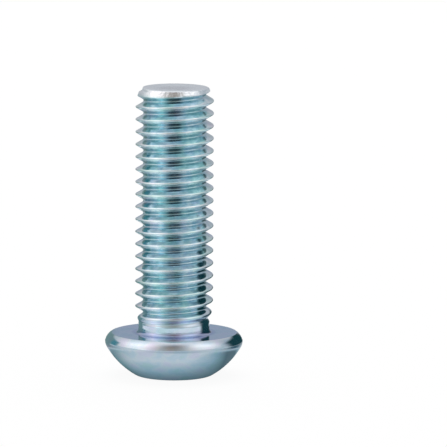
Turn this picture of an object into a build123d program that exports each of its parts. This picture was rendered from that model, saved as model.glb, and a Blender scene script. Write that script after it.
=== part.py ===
from build123d import *
from math import hypot, radians, sqrt, tan
import os

# Button head hexagon socket screw, M8 x 1.25 x 25: one piece of steel, cold forged and zinc plated.
# Its sizes are those of a made screw, a little under the nominal ones and inside their tolerances.
# It stands on the crown of its head. The bearing face is at z = 0, the head below it, the shank above.
# The shank is drawn to the crests of its thread.

# head
head_diameter = 13.8         # at the rim, before its rounding
head_height = 4.33
rim_height = 1.08            # rounded rim, from the bearing face down to the widest circle
rim_overhang = 0.63          # how far that circle stands out past the bearing face
rim_rounding = 0.6           # between rim and dome
crown_land = 0.63            # flat ring round the socket, before its rounding
crown_rounding = 1.2         # between dome and crown

# hexagon socket in the crown
across_flats = 5.04
wall_depth = 2.8             # from the crown to the foot of the walls
floor_slope = 15             # degrees the six floor facets fall towards the middle
dimple_diameter = 1.7        # mark of the forging punch
dimple_wall = 0.5            # flat left between the facets and the dimple
dimple_depth = 0.2
dimple_angle = 45            # degrees between its wall and the axis
mouth_clearance = 0.15       # how far the countersink reaches past the hexagon's corners
mouth_angle = 60             # degrees between the countersink and the axis

# shank
shank_length = 24.6
thread_diameter = 8.0        # nominal
thread_pitch = 1.25
crest_allowance = 0.24       # how far the crests stay under the nominal diameter
neck_length = 0.6            # plain part above the bearing face
neck_depth = 0.26            # how far it lies inside the crests, in pitches
neck_fillet = 0.4
runout_length = 2.4          # where the crests rise to their full height
tip_length = 1.25            # chamfer at the end
tip_drop = 0.5               # how far the chamfer falls inside the crests, before its rounding
tip_rounding = 0.35
end_ring = 0.8               # flat ring round the shallow hollow in the end face
cup_depth = 0.15

# radii of the head: the dome is part of a sphere, centred on the axis above the bearing face
head_radius = head_diameter / 2
bearing_radius = head_radius - rim_overhang
rim_radius = (rim_overhang**2 + rim_height**2) / (2 * rim_overhang)
mouth_radius = across_flats / sqrt(3) + mouth_clearance
crown_radius = mouth_radius + crown_land
sphere_height = (head_radius**2 + rim_height**2 - crown_radius**2 - head_height**2) / (
    2 * (head_height - rim_height)
)
dome_radius = hypot(head_radius, sphere_height + rim_height)

# radii of the shank: a rolled thread grows from a blank near its pitch diameter
crest_radius = (thread_diameter - crest_allowance) / 2
neck_radius = crest_radius - neck_depth * thread_pitch
tip_radius = crest_radius - tip_drop
cup_radius = tip_radius - end_ring

def round_corner(sketch, corner, radius):
    fillet(sketch.vertices().sort_by_distance(corner)[0], radius)

with BuildPart() as screw:
    # forged blank, turned about the axis
    with BuildSketch(Plane.XZ) as outline:
        with BuildLine():
            Line((0, -head_height), (crown_radius, -head_height))
            RadiusArc((crown_radius, -head_height), (head_radius, -rim_height), -dome_radius)
            RadiusArc((head_radius, -rim_height), (bearing_radius, 0), -rim_radius)
            Polyline(
                (bearing_radius, 0),
                (neck_radius, 0),
                (neck_radius, neck_length),
                (crest_radius, neck_length + runout_length),
                (crest_radius, shank_length - tip_length),
                (tip_radius, shank_length),
                (cup_radius, shank_length),
                (0, shank_length - cup_depth),
                (0, -head_height),
            )
        make_face()
        round_corner(outline, (crown_radius, -head_height), crown_rounding)
        round_corner(outline, (head_radius, -rim_height), rim_rounding)
        round_corner(outline, (neck_radius, 0), neck_fillet)
        round_corner(outline, (tip_radius, shank_length), tip_rounding)
    revolve(axis=Axis.Z)

    # countersunk mouth of the socket
    crown = Plane.XY.offset(-head_height)
    with BuildSketch(crown):
        Circle(mouth_radius)
    extrude(amount=mouth_radius / tan(radians(mouth_angle)), taper=mouth_angle, mode=Mode.SUBTRACT)

    # six walls, with the flats across the Y axis
    with BuildSketch(crown):
        RegularPolygon(across_flats / 2, 6, major_radius=False)
    extrude(amount=wall_depth, mode=Mode.SUBTRACT)

    # floor of six facets that fall to a flat, and the punch mark in it
    flat_radius = dimple_diameter / 2 + dimple_wall
    floor_depth = (across_flats / 2 - flat_radius) * tan(radians(floor_slope))
    floor = crown.offset(wall_depth)
    with BuildSketch(floor):
        RegularPolygon(across_flats / 2, 6, major_radius=False)
    extrude(amount=floor_depth, taper=90 - floor_slope, mode=Mode.SUBTRACT)
    with BuildSketch(floor.offset(floor_depth)):
        Circle(dimple_diameter / 2)
    extrude(amount=dimple_depth, taper=dimple_angle, mode=Mode.SUBTRACT)

os.makedirs("parts", exist_ok=True)
export_step(screw.part.solid(), "parts/button_head_screw.step")
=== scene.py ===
# Zinc plated M8 x 25 button head screw, standing on its head in a light studio
import bpy
import bmesh
from math import atan2, cos, hypot, pi, radians, sin, tan
from mathutils import Matrix, Vector


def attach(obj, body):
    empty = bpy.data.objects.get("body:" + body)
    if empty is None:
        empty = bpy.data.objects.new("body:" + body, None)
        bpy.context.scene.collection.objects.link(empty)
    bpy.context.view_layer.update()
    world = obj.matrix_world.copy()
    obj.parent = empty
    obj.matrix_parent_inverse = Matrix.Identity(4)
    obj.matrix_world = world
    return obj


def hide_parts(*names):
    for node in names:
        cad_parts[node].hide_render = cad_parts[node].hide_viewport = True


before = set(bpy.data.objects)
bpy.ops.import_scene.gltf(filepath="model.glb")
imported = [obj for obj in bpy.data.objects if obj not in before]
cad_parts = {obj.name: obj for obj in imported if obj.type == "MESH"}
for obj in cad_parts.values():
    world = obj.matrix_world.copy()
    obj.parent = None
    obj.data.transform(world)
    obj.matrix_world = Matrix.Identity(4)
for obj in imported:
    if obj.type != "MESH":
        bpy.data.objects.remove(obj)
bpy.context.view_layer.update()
print("frame loaded")

# sizes are in millimetres, and a mesh is brought to metres when it is finished
millimetre = 0.001
tolerance = 1e-3                 # two places closer than this are one
cutTolerance = 1e-5              # a cut takes points nearer than this as its own
sharpAngle = 32                  # degrees, beyond which an edge is shaded as a corner


def ramp(value, low, high):
    return min(max((value - low) / (high - low), 0), 1)


def radiusOf(point):
    return hypot(point.x, point.y)


def moveTo(vert, radius, height):
    share = radius / radiusOf(vert.co)
    vert.co = (vert.co.x * share, vert.co.y * share, height)


def isLevel(verts, height):
    return all(abs(vert.co.z - height) < tolerance for vert in verts)


def isRound(verts, radius):
    return all(abs(radiusOf(vert.co) - radius) < tolerance for vert in verts)


def cutAt(bm, height, keepAbove):
    # cuts the shank square and returns the open edge, with one point to each step of the turn
    bmesh.ops.bisect_plane(
        bm,
        geom=bm.verts[:] + bm.edges[:] + bm.faces[:],
        dist=cutTolerance,
        plane_co=(0, 0, height),
        plane_no=(0, 0, 1),
        clear_inner=keepAbove,
        clear_outer=not keepAbove,
    )
    steps = thread["steps"]
    regular = {}
    extra = {}
    for vert in bm.verts:
        if vert.is_boundary and isLevel([vert], height):
            place = atan2(vert.co.y, vert.co.x) / (2 * pi) * steps
            if abs(place - round(place)) < tolerance:
                regular[round(place) % steps] = vert
            else:
                extra[vert] = round(place) % steps
    bmesh.ops.weld_verts(bm, targetmap={vert: regular[step] for vert, step in extra.items()})
    return [edge for edge in bm.edges if edge.is_boundary and isLevel(edge.verts, height)]


def carryOn(bm, edges, place):
    # one more ring of faces beyond an open edge; place gives each new point its radius and height
    grown = bmesh.ops.extrude_edge_only(bm, edges=edges)["geom"]
    for vert in grown:
        if isinstance(vert, bmesh.types.BMVert):
            moveTo(vert, *place(vert.co))
    return [edge for edge in grown if isinstance(edge, bmesh.types.BMEdge)]


def closePole(bm, edges, height):
    grown = bmesh.ops.extrude_edge_only(bm, edges=edges)["geom"]
    verts = [vert for vert in grown if isinstance(vert, bmesh.types.BMVert)]
    bmesh.ops.pointmerge(bm, verts=verts, merge_co=(0, 0, height))


def roundRing(bm, radius, height, offset, segments):
    bmesh.ops.bevel(
        bm,
        geom=[edge for edge in bm.edges if isRound(edge.verts, radius) and isLevel(edge.verts, height)],
        offset=offset,
        segments=segments,
        profile=0.5,
        affect="EDGES",
        material=-1,
    )


def roundPoints(bm, verts, offset, segments):
    bmesh.ops.bevel(
        bm,
        geom=verts,
        offset=offset,
        segments=segments,
        profile=0.5,
        affect="VERTICES",
        material=-1,
    )


def toMesh(bm, name):
    mesh = bpy.data.meshes.new(name)
    bm.to_mesh(mesh)
    bm.free()
    return mesh


def addObject(name, data):
    added = bpy.data.objects.new(name, data)
    bpy.context.scene.collection.objects.link(added)
    return added


thread = {
    "pitch": 1.25,
    "crestRadius": 3.88,
    "rootRadius": 3.114,
    "flank": 30,                 # degrees
    "crestRounding": 0.22,       # from the point where the flanks would meet
    "crestSegments": 6,
    "rootRounding": 0.12,
    "rootSegments": 2,
    "flankCuts": 4,
    "crestOverX": 23.264,        # height at which a crest passes over +X
    "turnsBelow": 20,
    "turns": 22,
    "steps": 120,                # round one turn
    "ridgeFade": (0.9, 2.7),     # heights between which the ridges grow out of the neck
    "grooveFade": (1.0, 2.0),    # and the grooves sink into it
}

shank = {
    "neckRadius": 3.555,
    "neckTop": 0.42,
    "filletRadius": 0.4,
    "filletRings": 6,
    "end": 24.6,
    "chamferLength": 1.25,
    "chamferDrop": 0.5,
    "lipHeight": 0.25,
    "lipRings": 5,
    "faceRadius": 3.144,
    "cup": [(2.95, 0), (2.58, 0), (2.2, 0.05), (1.3, 0.12), (0.5, 0.15)],   # radius and depth
}


def rollThread(bm):
    # one pitch of the section, from groove to groove, then carried up the shank in turns
    pitch = thread["pitch"]
    root = thread["rootRadius"]
    crest = thread["crestRadius"]
    slope = tan(radians(thread["flank"]))
    point = crest + thread["crestRounding"] * slope
    rootEdge = (point - root) * slope
    middle = thread["crestOverX"] - thread["turnsBelow"] * pitch
    section = [(root, -pitch / 2), (root, -rootEdge), (point, 0), (root, rootEdge), (root, pitch / 2)]
    verts = [bm.verts.new((radius, 0, middle + height)) for radius, height in section]
    for pair in zip(verts, verts[1:]):
        bm.edges.new(pair)
    roundPoints(bm, [verts[2]], thread["crestRounding"], thread["crestSegments"])
    roundPoints(bm, [verts[1], verts[3]], thread["rootRounding"], thread["rootSegments"])
    flanks = [edge for edge in bm.edges if edge.calc_length() > thread["crestRounding"]]
    bmesh.ops.subdivide_edges(bm, edges=flanks, cuts=thread["flankCuts"])
    bmesh.ops.spin(
        bm,
        geom=bm.verts[:] + bm.edges[:],
        cent=(0, 0, 0),
        axis=(0, 0, 1),
        dvec=(0, 0, pitch / thread["steps"]),
        angle=2 * pi,
        steps=thread["steps"],
        use_merge=False,
    )
    firstTurn = bm.verts[:] + bm.edges[:] + bm.faces[:]
    for turn in range(1, thread["turns"]):
        copy = bmesh.ops.duplicate(bm, geom=firstTurn)["geom"]
        verts = [vert for vert in copy if isinstance(vert, bmesh.types.BMVert)]
        bmesh.ops.translate(bm, vec=(0, 0, pitch * turn), verts=verts)
    bmesh.ops.remove_doubles(bm, verts=bm.verts, dist=tolerance)


def fadeThread(bm):
    # rolled ridges and grooves run out into the neck, and the chamfer takes the crests at the end
    neck = shank["neckRadius"]
    slope = shank["chamferDrop"] / shank["chamferLength"]
    for vert in bm.verts:
        height = vert.co.z
        over = radiusOf(vert.co) - neck
        fade = thread["ridgeFade"] if over > 0 else thread["grooveFade"]
        radius = neck + over * ramp(height, *fade)
        chamfer = thread["crestRadius"] - shank["chamferDrop"] + slope * (shank["end"] - height)
        moveTo(vert, min(radius, chamfer), height)


def closeEnd(bm):
    # the rounded lip, the end face and the shallow hollow in it
    start = shank["end"] - shank["lipHeight"]
    inner = shank["faceRadius"]
    rings = shank["lipRings"]
    edges = cutAt(bm, start, keepAbove=False)
    for ring in range(rings):
        before = ring / rings * pi / 2
        after = (ring + 1) / rings * pi / 2

        def lip(point):
            over = (radiusOf(point) - inner) / cos(before)
            return inner + over * cos(after), start + shank["lipHeight"] * sin(after)

        edges = carryOn(bm, edges, lip)
    for radius, depth in shank["cup"]:
        edges = carryOn(bm, edges, lambda point: (radius, shank["end"] - depth))
    closePole(bm, edges, shank["end"] - shank["cup"][-1][1])


head = {
    "rimRadius": 6.9,
    "rimHeight": 1.08,           # below the bearing face, which is at height 0
    "bearingRadius": 6.27,
    "bearingRings": [4.2, 5.1, 5.9, 6.15],
    "height": 4.33,
    "crownRadius": 3.69,
    "rimRings": 5,
    "domeRings": 12,
    "rimRounding": 0.3,
    "rimSegments": 4,
    "crownRounding": 0.3,
    "crownSegments": 5,
    "edgeRounding": 0.03,        # at the bearing face and at the socket's mouth
    "edgeSegments": 2,
}


def arc(centre, radius, start, end, rings):
    # rings along an arc of the outline, without its first point
    turn = [start + (end - start) * (ring + 1) / rings for ring in range(rings)]
    return [(centre[0] + radius * cos(angle), centre[1] + radius * sin(angle)) for angle in turn]


def headOutline():
    # radius and height, from the neck down over the bearing face, the rim and the dome to the crown
    rim = head["rimRadius"]
    rimHeight = head["rimHeight"]
    bearing = head["bearingRadius"]
    crown = head["crownRadius"]
    height = head["height"]
    fillet = shank["filletRadius"]
    neck = shank["neckRadius"]
    outline = [(neck, fillet)]
    outline += arc((neck + fillet, fillet), fillet, pi, 1.5 * pi, shank["filletRings"])
    outline += [(radius, 0) for radius in (*head["bearingRings"], bearing)]
    overhang = rim - bearing
    rimArc = (overhang**2 + rimHeight**2) / (2 * overhang)
    top = atan2(rimHeight, rimArc - overhang)
    outline += arc((rim - rimArc, -rimHeight), rimArc, top, 0, head["rimRings"])
    middle = (rim**2 + rimHeight**2 - crown**2 - height**2) / (2 * (height - rimHeight))
    dome = hypot(rim, middle + rimHeight)
    low = atan2(-height - middle, crown)
    high = atan2(-rimHeight - middle, rim)
    outline += arc((0, middle), dome, high, low, head["domeRings"])
    return outline


def turnHead(bm):
    edges = cutAt(bm, shank["neckTop"], keepAbove=True)
    for place in headOutline():
        edges = carryOn(bm, edges, lambda point: place)
    return edges


socket = {
    "flats": 5.04,
    "mouthRadius": 3.06,
    "mouthAngle": 60,            # degrees from the axis
    "wallDepth": 2.8,
    "floorSlope": 15,            # degrees
    "floorFlat": 1.35,
    "dimpleRadius": 0.85,
    "dimpleDepth": 0.2,
}


def hexagon(point, apothem):
    # distance from the axis to the hexagon's side, with its corners over X
    angle = atan2(point.y, point.x) % (pi / 3) - pi / 6
    return apothem / cos(angle)


def sinkSocket(bm, edges):
    crown = -head["height"]
    half = socket["flats"] / 2
    mouth = socket["mouthRadius"]
    cone = tan(radians(socket["mouthAngle"]))
    wallFoot = crown + socket["wallDepth"]
    flat = socket["floorFlat"]
    bottom = wallFoot + (half - flat) * tan(radians(socket["floorSlope"]))
    dimple = socket["dimpleRadius"]
    depth = socket["dimpleDepth"]

    def wallTop(point):
        radius = hexagon(point, half)
        return radius, crown + (mouth - radius) / cone

    edges = carryOn(bm, edges, lambda point: (mouth, crown))
    edges = carryOn(bm, edges, wallTop)
    edges = carryOn(bm, edges, lambda point: (hexagon(point, half), wallFoot))
    edges = carryOn(bm, edges, lambda point: (hexagon(point, flat), bottom))
    edges = carryOn(bm, edges, lambda point: (dimple, bottom))
    edges = carryOn(bm, edges, lambda point: (dimple - depth, bottom + depth))
    closePole(bm, edges, bottom + depth)


def makeScrew():
    bm = bmesh.new()
    rollThread(bm)
    fadeThread(bm)
    closeEnd(bm)
    crownEdge = turnHead(bm)
    sinkSocket(bm, crownEdge)
    bmesh.ops.recalc_face_normals(bm, faces=bm.faces)
    roundRing(bm, head["rimRadius"], -head["rimHeight"], head["rimRounding"], head["rimSegments"])
    roundRing(bm, head["crownRadius"], -head["height"], head["crownRounding"], head["crownSegments"])
    roundRing(bm, head["bearingRadius"], 0, head["edgeRounding"], head["edgeSegments"])
    roundRing(bm, socket["mouthRadius"], -head["height"], head["edgeRounding"], head["edgeSegments"])
    bmesh.ops.scale(bm, vec=(millimetre,) * 3, verts=bm.verts)
    for face in bm.faces:
        face.smooth = True
    mesh = toMesh(bm, "zinc_plated_screw")
    mesh.set_sharp_from_angle(angle=radians(sharpAngle))
    return addObject("zinc_plated_screw", mesh)


screw = makeScrew()
print("screw turned:", len(screw.data.polygons), "faces")


def setInputs(tree, node, inputs):
    # an input, by its name or its place, takes a plain value or the output of another node
    for key, value in inputs.items():
        if isinstance(value, bpy.types.NodeSocket):
            tree.links.new(value, node.inputs[key])
        else:
            node.inputs[key].default_value = value


def addNode(tree, kind, inputs=None, **settings):
    node = tree.nodes.new("ShaderNode" + kind)
    for name, value in settings.items():
        setattr(node, name, value)
    setInputs(tree, node, inputs or {})
    return node


def combine(tree, operation, *values, **settings):
    node = addNode(tree, "Math", dict(enumerate(values)), operation=operation, **settings)
    return node.outputs[0]


def combineVectors(tree, operation, *values):
    node = addNode(tree, "VectorMath", dict(enumerate(values)), operation=operation)
    return node.outputs["Value" if operation in ("LENGTH", "DOT_PRODUCT") else "Vector"]


def scaleVector(tree, vector, scale):
    return addNode(tree, "VectorMath", {0: vector, "Scale": scale}, operation="SCALE").outputs[0]


def spread(tree, value, ends, results=(0, 1), smooth=False):
    # brings a value between two ends to a value between two results
    inputs = {
        "Value": value,
        "From Min": ends[0],
        "From Max": ends[1],
        "To Min": results[0],
        "To Max": results[1],
    }
    kind = "SMOOTHSTEP" if smooth else "LINEAR"
    return addNode(tree, "MapRange", inputs, interpolation_type=kind).outputs[0]


def blend(tree, kind, share, first, second):
    inputs = {"Factor": share, "A": first, "B": second}
    return addNode(tree, "Mix", inputs, data_type=kind).outputs["Result"]


def blendShaders(tree, share, first, second):
    return addNode(tree, "MixShader", {"Fac": share, 1: first, 2: second}).outputs[0]


def colourStops(tree, value, stops):
    # a colour ramp; each stop is a position and a colour
    node = addNode(tree, "ValToRGB", {"Fac": value})
    elements = node.color_ramp.elements
    while len(elements) < len(stops):
        elements.new(0.5)
    for element, (position, colour) in zip(elements, stops):
        element.position = position
        element.color = (*colour, 1)
    return node.outputs["Color"]


zinc = {
    "tints": [
        # thin-film tints of the passivation, from teal through blue to lilac
        (0.36, (0.56, 0.74, 0.78)),
        (0.46, (0.61, 0.74, 0.85)),
        (0.54, (0.68, 0.78, 0.84)),
        (0.64, (0.69, 0.73, 0.86)),
    ],
    "shankShift": -0.07,         # the rolled thread has taken more of the first tint
    "shankFrom": (0.6, 1.2),     # heights over which the shank's own finish begins
    "threadFrom": (1.5, 3),      # and its painted shade in the grooves and painted highlight on the crests
    "groove": (0.69, 0.82, 0.84),    # share of the colour left at the roots, a painted shade
    "crest": (1.26, 1.20, 1.12),     # and at the crests, a painted highlight
    "unevenness": 1.6,           # millimetres that noise adds to the depth in the groove
    "filletShade": (0.66, 0.66, 0.84),    # painted shade in the corner of the fillet
    "filletFoot": (-0.05, 0.02),
    "filletTop": (0.5, 0.2),
    "filletOut": (4.35, 3.95),   # radii
    "sheared": (0.88, 0.95, 0.99),   # the end has only a thin plating
    "shearedFrom": (-0.8, -0.45),    # this and the next two count from the end
    "dentsFrom": (-0.9, -0.4),
    "dullFrom": (-0.2, -0.04),
    "roughness": (0.07, 0.15),
    "cloudSpread": (0.35, 0.65),     # noise values that give the two roughnesses
    "endRoughness": 0.34,
    "grainDepth": 0.0012,
    "lineDepth": 0.0035,         # lines that the dies roll round the shank
    "dentDepth": 0.06,           # dents that the shears and the chute leave on the end
    # each noise has its patches to the millimetre, its detail and its stretch
    "tintNoise": (0.55, 3, (1, 1, 1.6)),
    "unevenNoise": (1.6, 3, (1, 1, 2.5)),
    "cloudNoise": (1.4, 4, (1, 1, 1)),
    "grainNoise": (9, 3, (1, 1, 1)),
    "lineNoise": (7, 2, (0.03, 0.03, 1)),
    "dentNoise": (2.4, 3, (1, 1, 1)),
}


def makeZinc():
    material = bpy.data.materials.new("bright_zinc")
    material.use_nodes = True
    tree = material.node_tree
    place = addNode(tree, "TexCoord").outputs["Object"]
    point = addNode(tree, "Mapping", {"Vector": place, "Scale": (1 / millimetre,) * 3}).outputs["Vector"]
    height = addNode(tree, "SeparateXYZ", {0: point}).outputs["Z"]
    radius = combineVectors(tree, "LENGTH", combineVectors(tree, "MULTIPLY", point, (1, 1, 0)))

    def noise(name):
        size, detail, stretch = zinc[name]
        stretched = addNode(tree, "Mapping", {"Vector": point, "Scale": stretch}).outputs["Vector"]
        inputs = {"Vector": stretched, "Scale": size, "Detail": detail}
        return addNode(tree, "TexNoise", inputs).outputs["Fac"]

    def band(value, name, start=0):
        return spread(tree, value, [start + end for end in zinc[name]], smooth=True)

    def bump(strength, depth, texture, **under):
        # under holds the normal that this bump lies on, where it isn't the mesh's own
        inputs = {"Strength": strength, "Distance": zinc[depth] * millimetre, "Height": noise(texture)}
        return addNode(tree, "Bump", {**inputs, **under}).outputs["Normal"]

    onShank = band(height, "shankFrom")
    film = combine(tree, "MULTIPLY_ADD", onShank, zinc["shankShift"], noise("tintNoise"))
    tint = colourStops(tree, film, zinc["tints"])

    # painted shade in the grooves and painted highlight on the crests, though unevenly
    half = zinc["unevenness"] / 2
    uneven = combine(tree, "MULTIPLY_ADD", noise("unevenNoise"), zinc["unevenness"], radius)
    depth = spread(tree, uneven, (thread["rootRadius"] + half, thread["crestRadius"] + half))
    paintedGrooveShadeCrestHighlight = blend(tree, "VECTOR", depth, zinc["groove"], zinc["crest"])
    onThread = blend(tree, "VECTOR", band(height, "threadFrom"), (1, 1, 1), paintedGrooveShadeCrestHighlight)
    colour = combineVectors(tree, "MULTIPLY", tint, onThread)

    # painted shade in the corner of the fillet, where the neck meets the bearing face
    corner = combine(tree, "MULTIPLY", band(height, "filletFoot"), band(height, "filletTop"))
    corner = combine(tree, "MULTIPLY", corner, band(radius, "filletOut"))
    shade = blend(tree, "VECTOR", corner, (1, 1, 1), zinc["filletShade"])
    plated = combineVectors(tree, "MULTIPLY", colour, shade)
    sheared = band(height, "shearedFrom", shank["end"])
    colour = blend(tree, "RGBA", sheared, plated, (*zinc["sheared"], 1))

    # cloudy gloss, duller on the sheared end
    gloss = spread(tree, noise("cloudNoise"), zinc["cloudSpread"], zinc["roughness"])
    dull = band(height, "dullFrom", shank["end"])
    roughness = blend(tree, "FLOAT", dull, gloss, zinc["endRoughness"])

    # grain of the forged and plated skin, rolled lines on the shank, dents on the end
    grain = bump(1, "grainDepth", "grainNoise")
    lines = bump(onShank, "lineDepth", "lineNoise", Normal=grain)
    dents = bump(band(height, "dentsFrom", shank["end"]), "dentDepth", "dentNoise", Normal=lines)

    finish = {"Metallic": 1, "Base Color": colour, "Roughness": roughness, "Normal": dents}
    setInputs(tree, tree.nodes["Principled BSDF"], finish)
    return material


screw.data.materials.append(makeZinc())
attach(screw, "root")
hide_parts("button_head_screw")
print("zinc plated")


# the plain room that the metal mirrors, and patches that are brighter or darker round one direction
surroundings = {
    "plain": (0.70, 0.70, 0.70),
    "leastLight": (0.02, 0.02, 0.02),    # that the darker patches leave
    "daylight": 0.6,             # the white air's strength, for everything but mirrored and camera rays
    "patches": [
        # azimuth from the viewer's side to the right, elevation, tightness, added colour
        ("left_window", -75, 42, 10, (0.72, 0.56, 0.54)),
        ("left_strip", -51, -4, 45, (0.56, 0.58, 0.56)),
        ("left_side", -72, 0, 8, (0.09, 0.09, 0.09)),
        ("left_top", -110, 60, 8, (0.15, 0.15, 0.15)),
        ("right_window", 66, 48, 9, (0.62, 0.56, 0.55)),
        ("right_side", 66, 0, 8, (-0.14, -0.14, -0.12)),
        ("viewer", 0, -8, 8, (-0.28, -0.28, -0.27)),
        ("viewer_left", -20, -12, 60, (-0.40, -0.39, -0.38)),
        ("viewer_near_left", -7, -12, 60, (-0.40, -0.39, -0.38)),
        ("viewer_near_right", 7, -12, 60, (-0.40, -0.39, -0.38)),
        ("viewer_right", 20, -12, 60, (-0.40, -0.39, -0.38)),
        ("over_viewer", -2, 45, 9, (-0.40, -0.44, -0.48)),
        ("above_viewer", 12, 66, 20, (-0.30, -0.28, -0.26)),
        ("right_back", 118, 28, 9, (-0.36, -0.32, -0.28)),
        ("left_back", -140, 8, 8, (-0.22, -0.21, -0.19)),
        ("left_low", -104, -14, 14, (-0.30, -0.25, -0.25)),
        ("back_wall", 170, 10, 10, (-0.24, -0.24, -0.20)),
        ("top", 0, 90, 3, (0.08, 0.06, 0.08)),
    ],
}


def plainColour(tree, colour):
    return addNode(tree, "CombineXYZ", dict(enumerate(colour))).outputs[0]


def addPatches(tree, direction, light, patches):
    for name, azimuth, elevation, tightness, colour in patches:
        turn = radians(azimuth)
        rise = radians(elevation)
        centre = (sin(turn) * cos(rise), -cos(turn) * cos(rise), sin(rise))
        along = combineVectors(tree, "DOT_PRODUCT", direction, centre)
        falloff = combine(tree, "MULTIPLY_ADD", along, tightness, -tightness)
        patch = scaleVector(tree, colour, combine(tree, "EXPONENT", falloff))
        patch.node.label = name
        light = combineVectors(tree, "ADD", light, patch)
    return light


def makeWorld():
    world = bpy.data.worlds.new("studio_air")
    bpy.context.scene.world = world
    world.use_nodes = True
    tree = world.node_tree
    white = (1, 1, 1, 1)
    daylight = tree.nodes["Background"]
    setInputs(tree, daylight, {"Color": white, "Strength": surroundings["daylight"]})
    backdrop = addNode(tree, "Background", {"Color": white})
    direction = addNode(tree, "TexCoord").outputs["Generated"]
    light = plainColour(tree, surroundings["plain"])
    light = addPatches(tree, direction, light, surroundings["patches"])
    light = combineVectors(tree, "MAXIMUM", light, surroundings["leastLight"])
    room = addNode(tree, "Background", {"Color": light})
    rays = addNode(tree, "LightPath").outputs
    air = blendShaders(tree, rays["Is Camera Ray"], daylight.outputs[0], backdrop.outputs[0])
    air = blendShaders(tree, rays["Is Glossy Ray"], air, room.outputs[0])
    setInputs(tree, tree.nodes["World Output"], {"Surface": air})


# a floor that is plain and pale to the camera, and that the metal sees as a glow with painted light and
# painted shadow;
# reaches are distances from the screw's axis between which something begins or ends
floor = {
    "size": 4000,
    "colour": (0.95, 0.95, 0.95, 1),
    "roughness": 0.9,
    "cameraGlow": 0.93,          # how far the camera sees it as plain white
    "nearReach": (48, 56),       # the metal sees the floor's painted glow this far out, and the room beyond
    "roomTint": (0.8, 0.97, 1, 1),
    "open": (0.66, 0.70, 0.73),
    "patchReach": (9, 13),       # the patches begin here and end there
    "patchEnd": (20, 30),
    "patches": [
        # azimuth, elevation, tightness, added colour, as in the surroundings
        # painted light to the left, painted shade in front and behind, seen only by the metal
        ("floor_left", -56, 0, 14, (0.10, 0.08, 0.06)),
        ("floor_front", 4, 0, 5, (-0.22, -0.20, -0.19)),
        ("floor_left_back", -120, 0, 6, (-0.42, -0.41, -0.41)),
        ("floor_right_back", 104, 0, 8, (-0.60, -0.57, -0.56)),
    ],
    "ringEnd": (10, 16),
    "ringPatches": [
        # close round the head, a painted shade
        ("ring_left", -96, 0, 6, (-0.30, -0.24, -0.26)),
    ],
    "farReach": (27, 34),        # the open floor is lighter from here on
    "farLift": (0.17, 0.18, 0.20),
    "behindTurn": 25,            # degrees, from straight behind to the right
    "behindReach": (-5, 2),      # along that direction
    "behindLight": 0.1,
    "footReach": (3.3, 6.8),     # from the dome's contact to the open floor
    "footShade": [
        (0, (0.10, 0.16, 0.18)),
        (0.5, (0.49, 0.63, 0.68)),
        (1, (1, 1, 1)),
    ],
}


def paintedFloorReflection(tree):
    # the light that the metal sees on the floor, shaded round and behind the foot
    place = addNode(tree, "TexCoord").outputs["Object"]
    flat = combineVectors(tree, "MULTIPLY", place, (1, 1, 0))
    distance = combineVectors(tree, "LENGTH", flat)
    direction = combineVectors(tree, "NORMALIZE", flat)

    def reach(name, value=distance, results=(0, 1)):
        return spread(tree, value, [end * millimetre for end in floor[name]], results)

    opening = reach("patchReach")
    near = combine(tree, "SUBTRACT", opening, reach("patchEnd"), use_clamp=True)
    close = combine(tree, "SUBTRACT", 1, reach("ringEnd"))
    light = plainColour(tree, floor["open"])
    light = addPatches(tree, scaleVector(tree, direction, near), light, floor["patches"])
    light = addPatches(tree, scaleVector(tree, direction, close), light, floor["ringPatches"])
    lift = scaleVector(tree, floor["farLift"], reach("farReach"))
    light = combineVectors(tree, "ADD", light, lift)

    # close to the head a painted shadow darkens the floor from the front round to the back
    turn = radians(floor["behindTurn"])
    across = combineVectors(tree, "DOT_PRODUCT", flat, (sin(turn), cos(turn), 0))
    behind = reach("behindReach", across, (1, floor["behindLight"]))
    opened = blend(tree, "FLOAT", opening, behind, 1)
    step = combine(tree, "MULTIPLY", opened, reach("footReach"))
    light = combineVectors(tree, "MULTIPLY", light, colourStops(tree, step, floor["footShade"]))
    light = combineVectors(tree, "MAXIMUM", light, surroundings["leastLight"])
    glow = addNode(tree, "Emission", {"Color": light})
    through = addNode(tree, "BsdfTransparent", {"Color": floor["roomTint"]})
    return blendShaders(tree, reach("nearReach"), glow.outputs[0], through.outputs[0])


def makeFloorMaterial():
    material = bpy.data.materials.new("white_floor")
    material.use_nodes = True
    tree = material.node_tree
    paper = tree.nodes["Principled BSDF"]
    paint = {"Base Color": floor["colour"], "Roughness": floor["roughness"], "Specular IOR Level": 0}
    setInputs(tree, paper, paint)
    glow = addNode(tree, "Emission")
    rays = addNode(tree, "LightPath").outputs
    share = combine(tree, "MULTIPLY", rays["Is Camera Ray"], floor["cameraGlow"])
    surface = blendShaders(tree, share, paper.outputs[0], glow.outputs[0])
    surface = blendShaders(tree, rays["Is Glossy Ray"], surface, paintedFloorReflection(tree))
    setInputs(tree, tree.nodes["Material Output"], {"Surface": surface})
    return material


def makeFloor():
    bm = bmesh.new()
    bmesh.ops.create_grid(bm, x_segments=1, y_segments=1, size=floor["size"] / 2)
    bmesh.ops.translate(bm, vec=(0, 0, -head["height"]), verts=bm.verts)
    bmesh.ops.scale(bm, vec=(millimetre,) * 3, verts=bm.verts)
    ground = addObject("floor", toMesh(bm, "floor"))
    ground.data.materials.append(makeFloorMaterial())


softbox = {
    "place": (0, 300, 900),
    "target": (0, 0, 0),
    "size": (900, 900),
    "glow": 2.2,                 # brightness of its face
}


def faceTowards(place, target):
    aim = (Vector(target) - Vector(place)).to_track_quat("-Z", "Y")
    return Matrix.Translation(Vector(place) * millimetre) @ aim.to_matrix().to_4x4()


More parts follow.
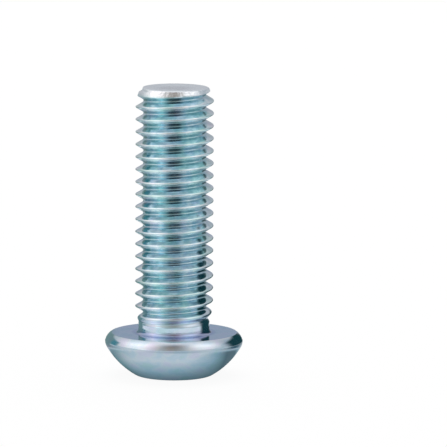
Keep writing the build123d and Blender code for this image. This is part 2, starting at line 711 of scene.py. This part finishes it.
def addSoftbox():
    lamp = bpy.data.lights.new("top_softbox", "AREA")
    lamp.shape = "RECTANGLE"
    lamp.size = softbox["size"][0] * millimetre
    lamp.size_y = softbox["size"][1] * millimetre
    lamp.energy = softbox["glow"] * pi * lamp.size * lamp.size_y
    box = addObject("top_softbox", lamp)
    box.matrix_world = faceTowards(softbox["place"], softbox["target"])
    box.visible_glossy = False


cards = [
    # name, place, target, width and height, colour, softness of the edges across and up
    ("back_card", (0, 60, 8), (0, 0, 8), (34, 28), (0.31, 0.365, 0.465), (0.4, 0.2)),
    ("back_left", (-36, 50, 7), (0, 0, 7), (56, 28), (0.26, 0.31, 0.29), (0.4, 0.3)),
    ("back_right", (36, 50, 7), (0, 0, 7), (56, 28), (0.12, 0.15, 0.15), (0.4, 0.3)),
    ("right_low", (12.6, 6.4, 1.8), (0, 0, 1.8), (20, 13), (0.01, 0.05, 0.06), (0.5, 0.5)),
    ("left_thread", (-22.2, 11.2, 5.4), (0, 0, 5.4), (19, 13), (0.09, 0.26, 0.30), (0.4, 0.6)),
    ("left_low", (-10.6, 9.2, 0.6), (-0.7, -0.7, 0.6), (14, 10.4), (0.18, 0.28, 0.28), (0.4, 0.3)),
]


def softGlow(name, colour, softness):
    # a glow that fades out towards the card's edges
    material = bpy.data.materials.new(name)
    material.use_nodes = True
    tree = material.node_tree
    tree.nodes.clear()
    place = addNode(tree, "TexCoord").outputs["UV"]
    centred = addNode(tree, "Mapping", {"Vector": place, "Location": (-1, -1, 0), "Scale": (2, 2, 0)})
    split = addNode(tree, "SeparateXYZ", {0: centred.outputs["Vector"]})
    shares = []
    for axis, width in zip("XY", softness):
        fromMiddle = combine(tree, "ABSOLUTE", split.outputs[axis])
        shares.append(spread(tree, fromMiddle, (1 - width, 1), (1, 0), smooth=True))
    share = combine(tree, "MULTIPLY", *shares)
    clear = addNode(tree, "BsdfTransparent")
    glow = addNode(tree, "Emission", {"Color": (*colour, 1)})
    surface = blendShaders(tree, share, clear.outputs[0], glow.outputs[0])
    addNode(tree, "OutputMaterial", {"Surface": surface})
    return material


def addCard(name, place, target, size, colour, softness):
    # a card that only the polished metal sees
    bm = bmesh.new()
    bm.loops.layers.uv.new("UVMap")
    bmesh.ops.create_grid(bm, x_segments=1, y_segments=1, size=0.5, calc_uvs=True)
    bmesh.ops.scale(bm, vec=(size[0] * millimetre, size[1] * millimetre, 1), verts=bm.verts)
    bmesh.ops.transform(bm, matrix=faceTowards(place, target), verts=bm.verts)
    card = addObject(name, toMesh(bm, name))
    card.data.materials.append(softGlow(name, colour, softness))
    card.visible_camera = False
    card.visible_diffuse = False
    card.visible_shadow = False
    card.visible_transmission = False


view = {
    "place": (4.95, -561.2, 90.5),
    "yaw": -0.0001,              # radians
    "pitch": 0.1408,             # radians downward
    "roll": 0.28,                # degrees
    "lens": 458.5,
    "sensor": 36,
    "clip": (0.01, 100),         # metres
}


def makeCamera():
    camera = bpy.data.cameras.new("camera")
    camera.lens = view["lens"]
    camera.sensor_width = view["sensor"]
    camera.clip_start, camera.clip_end = view["clip"]
    eye = addObject("camera", camera)
    turn = Matrix.Rotation(-view["yaw"], 4, "Z") @ Matrix.Rotation(pi / 2 - view["pitch"], 4, "X")
    turn = turn @ Matrix.Rotation(radians(view["roll"]), 4, "Z")
    eye.matrix_world = Matrix.Translation(Vector(view["place"]) * millimetre) @ turn
    bpy.context.scene.camera = eye


makeFloor()
makeWorld()
addSoftbox()
for card in cards:
    addCard(*card)
makeCamera()
bpy.context.scene.view_settings.view_transform = "Standard"
print("studio set")
